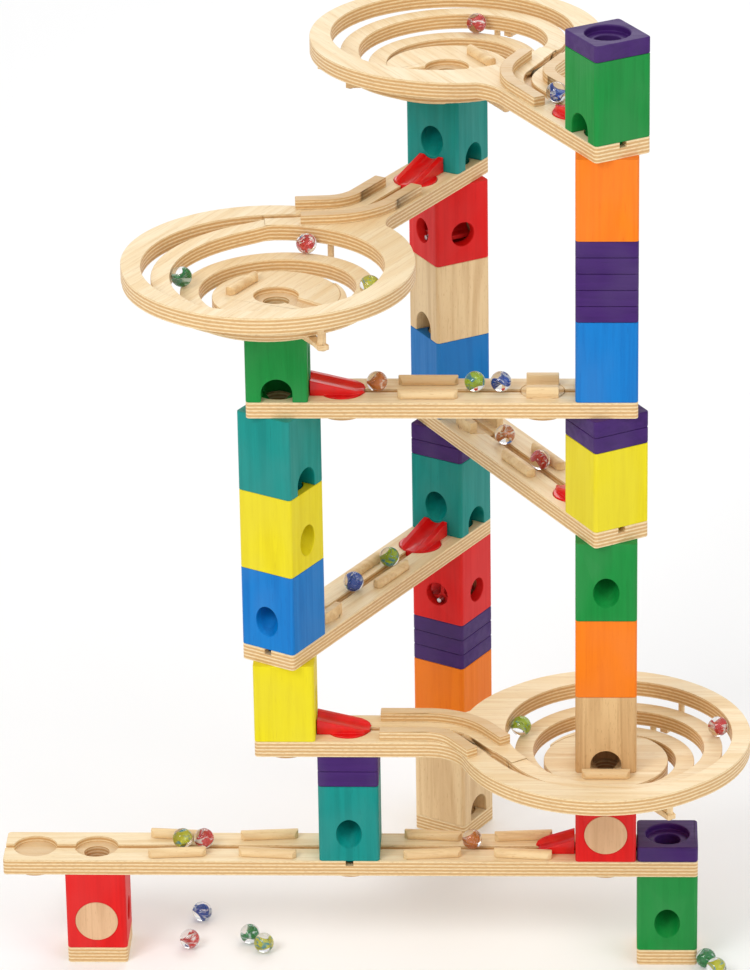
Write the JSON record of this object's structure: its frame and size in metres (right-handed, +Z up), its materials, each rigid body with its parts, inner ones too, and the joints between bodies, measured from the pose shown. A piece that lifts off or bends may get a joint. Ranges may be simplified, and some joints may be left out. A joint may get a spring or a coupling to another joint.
{
  "type": "marble run",
  "caption": "Wooden marble run: towers of stacked coloured blocks joined by grooved boards and spiral tracks, with switch blocks, ramps, guide sticks and glass marbles.",
  "frame": {"origin": "on the floor, under the middle of the whole run's box", "axes": "+Z up; +X along the bottom board, towards the tallest tower; -Y the front, where the bottom board is"},
  "size_m": [0.5927, 0.4564, 0.7788],
  "materials": {
    "ply": "clear matt varnish",
    "natural": "clear matt varnish",
    "red": "stained, satin",
    "orange": "stained, satin",
    "yellow": "stained, satin",
    "green": "stained, satin",
    "teal": "stained, satin",
    "blue": "stained, satin",
    "purple": "stained, satin",
    "gloss_red": "gloss paint",
    "steel": "satin",
    "glass_orange": "polished",
    "glass_green": "polished",
    "glass_blue": "polished",
    "glass_red": "polished",
    "glass_yellow": "polished"
  },
  "bodies": {
    "run": {"base_plates": "ply", "risers": "purple", "a_red_block": "red", "e_green_block": "green", "b_teal_block": "teal", "r_red_block": "red", "r_natural_block": "natural", "r_orange_block": "orange", "r_green_block": "green", "r_yellow_block": "yellow", "r_blue_block": "blue", "r_upper_orange_block": "orange", "r_top_green_block": "green", "l_yellow_block": "yellow", "l_blue_block": "blue", "l_upper_yellow_block": "yellow", "l_teal_block": "teal", "l_green_block": "green", "c_natural_block": "natural", "c_orange_block": "orange", "c_red_block": "red", "c_teal_block": "teal", "c_blue_block": "blue", "c_upper_natural_block": "natural", "c_upper_red_block": "red", "c_top_teal_block": "teal", "bottom_board": "ply", "board_l_to_c": "ply", "board_c_to_r": "ply", "board_l_to_r": "ply", "low_spiral": "ply", "middle_spiral": "ply", "top_spiral": "ply", "spiral_fences": "ply", "spiral_ties": "natural", "guide_sticks": "natural", "bridge_plugs": "natural", "ramps": "gloss_red", "rocker_pins": "steel", "face_plugs": "natural"},
    "top_riser": {"top_riser": "purple"},
    "free_riser": {"free_riser": "purple"},
    "a_rocker": {"a_rocker": "natural"},
    "r_rocker": {"r_rocker": "natural"},
    "c_rocker": {"c_rocker": "red"},
    "c_upper_rocker": {"c_upper_rocker": "red"},
    "marble_s1": {"marble_s1": "glass_orange"},
    "marble_s2": {"marble_s2": "glass_green"},
    "marble_s3": {"marble_s3": "glass_blue"},
    "marble_d1": {"marble_d1": "glass_blue"},
    "marble_d2": {"marble_d2": "glass_green"},
    "marble_e1": {"marble_e1": "glass_red"},
    "marble_e2": {"marble_e2": "glass_orange"},
    "marble_b1": {"marble_b1": "glass_orange"},
    "marble_b2": {"marble_b2": "glass_red"},
    "marble_b3": {"marble_b3": "glass_yellow"},
    "low_spiral_marbles": {"low_spiral_marbles": "glass_red"},
    "middle_spiral_marbles": {"middle_spiral_marbles": "glass_green"},
    "top_spiral_marbles": {"top_spiral_marbles": "glass_blue"},
    "floor_marbles": {"floor_marbles": "glass_blue"}
  },
  "joints": [
    {"name": "top_riser_lift", "type": "slide", "parent": "run", "child": "top_riser", "axis": [0, 0, 1], "range_m": [0, 0.04]},
    {"name": "free_riser_lift", "type": "slide", "parent": "run", "child": "free_riser", "axis": [0, 0, 1], "range_m": [0, 0.04]},
    {"name": "a_rocker_tilt", "type": "hinge", "parent": "run", "child": "a_rocker", "pos_m": [-0.22335, -0.10611, 0.0302], "axis": [0, -1, 0], "range_deg": [-20, 20]},
    {"name": "r_rocker_tilt", "type": "hinge", "parent": "run", "child": "r_rocker", "pos_m": [0.18265, -0.10611, 0.1094], "axis": [0, -1, 0], "range_deg": [-20, 20]},
    {"name": "c_rocker_tilt", "type": "hinge", "parent": "run", "child": "c_rocker", "pos_m": [0.05665, 0.11213, 0.215], "axis": [0.5, 0.866, 0], "range_deg": [-20, 20]},
    {"name": "c_upper_rocker_tilt", "type": "hinge", "parent": "run", "child": "c_upper_rocker", "pos_m": [0.05665, 0.11213, 0.5318], "axis": [0.866, 0.5, 0], "range_deg": [-20, 20]},
    {"name": "marble_s1_roll", "type": "slide", "parent": "run", "child": "marble_s1", "axis": [1, 0, 0], "range_m": [0, 0.05]},
    {"name": "marble_s2_roll", "type": "slide", "parent": "run", "child": "marble_s2", "axis": [1, 0, 0], "range_m": [-0.008, 0.002]},
    {"name": "marble_s3_roll", "type": "slide", "parent": "run", "child": "marble_s3", "axis": [1, 0, 0], "range_m": [0, 0.055]},
    {"name": "marble_d1_roll", "type": "slide", "parent": "run", "child": "marble_d1", "axis": [0.5, 0.866, 0], "range_m": [-0.075, 0]},
    {"name": "marble_d2_roll", "type": "slide", "parent": "run", "child": "marble_d2", "axis": [0.5, 0.866, 0], "range_m": [-0.035, 0.015]},
    {"name": "marble_e1_roll", "type": "slide", "parent": "run", "child": "marble_e1", "axis": [-0.5, 0.866, 0], "range_m": [-0.028, 0.035]},
    {"name": "marble_e2_roll", "type": "slide", "parent": "run", "child": "marble_e2", "axis": [-0.5, 0.866, 0], "range_m": [-0.004, 0.065]},
    {"name": "marble_b1_roll", "type": "slide", "parent": "run", "child": "marble_b1", "axis": [-1, 0, 0], "range_m": [-0.04, 0.06]},
    {"name": "marble_b2_roll", "type": "slide", "parent": "run", "child": "marble_b2", "axis": [-1, 0, 0], "range_m": [-0.08, 0]},
    {"name": "marble_b3_roll", "type": "slide", "parent": "run", "child": "marble_b3", "axis": [-1, 0, 0], "range_m": [0, 0.04]},
    {"name": "low_spiral_marbles_lift", "type": "slide", "parent": "run", "child": "low_spiral_marbles", "axis": [0, 0, 1], "range_m": [0, 0.03]},
    {"name": "middle_spiral_marbles_lift", "type": "slide", "parent": "run", "child": "middle_spiral_marbles", "axis": [0, 0, 1], "range_m": [0, 0.03]},
    {"name": "top_spiral_marbles_lift", "type": "slide", "parent": "run", "child": "top_spiral_marbles", "axis": [0, 0, 1], "range_m": [0, 0.03]},
    {"name": "floor_marbles_lift", "type": "slide", "parent": "run", "child": "floor_marbles", "axis": [0, 0, 1], "range_m": [0, 0.03]}
  ]
}
